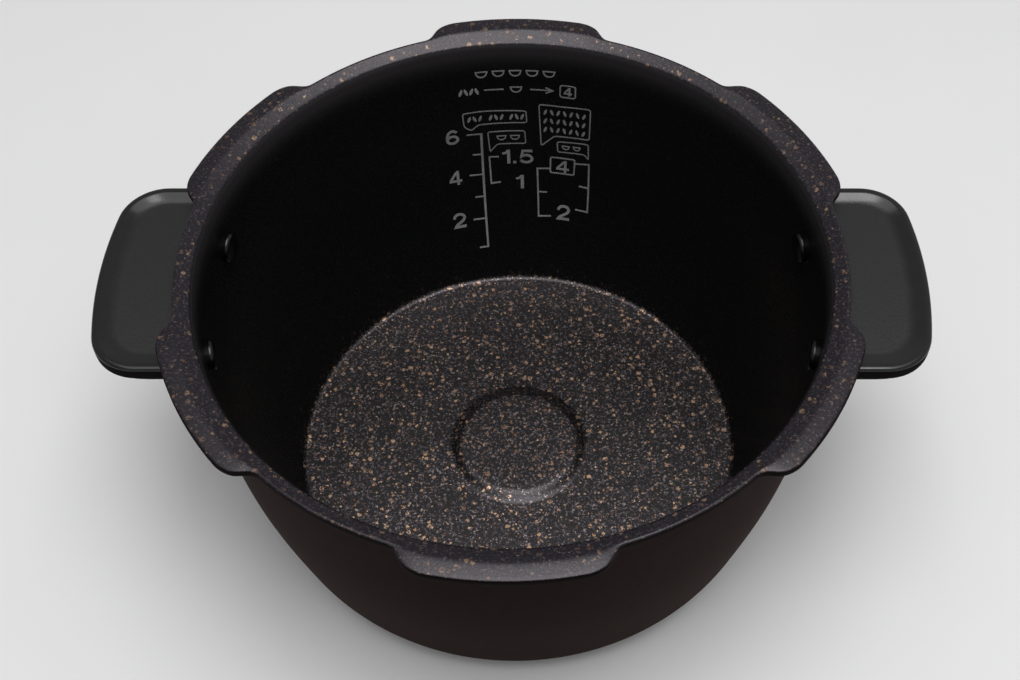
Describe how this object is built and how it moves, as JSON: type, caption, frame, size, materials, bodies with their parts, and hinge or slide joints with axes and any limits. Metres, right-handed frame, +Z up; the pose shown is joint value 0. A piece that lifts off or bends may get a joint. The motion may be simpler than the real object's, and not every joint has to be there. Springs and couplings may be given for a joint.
{
  "type": "rice cooker inner pot",
  "caption": "Round lidless cooking pot with bayonet lugs round its rim, a raised centre boss in its floor and a riveted side handle at each end; it lifts out of a pressure rice cooker.",
  "frame": {"origin": "centre of the pot's base, on the surface it stands on", "axes": "+Z up out of the pot, +Y towards the side with the level scale, the handles on +X and -X"},
  "size_m": [0.2424, 0.206, 0.1051],
  "materials": {
    "pot_coating": "non-stick coated aluminium: charcoal with fine pale and copper flecks inside, plain dark brown outside",
    "handle_gloss": "moulded black, polished border and finely textured dish",
    "handle_matte": "moulded black, satin",
    "bracket_steel": "pressed stainless sheet",
    "rivet_coated": "aluminium rivet, coated with the pot on its head",
    "screw_steel": "zinc-plated"
  },
  "bodies": {
    "root": {"pot_body": "pot_coating", "left_handle_top": "handle_gloss", "right_handle_top": "handle_gloss", "left_handle_base": "handle_matte", "right_handle_base": "handle_matte", "left_handle_bracket": "bracket_steel", "right_handle_bracket": "bracket_steel", "left_rivets": "rivet_coated", "right_rivets": "rivet_coated", "left_screws": "screw_steel", "right_screws": "screw_steel"}
  },
  "joints": []
}
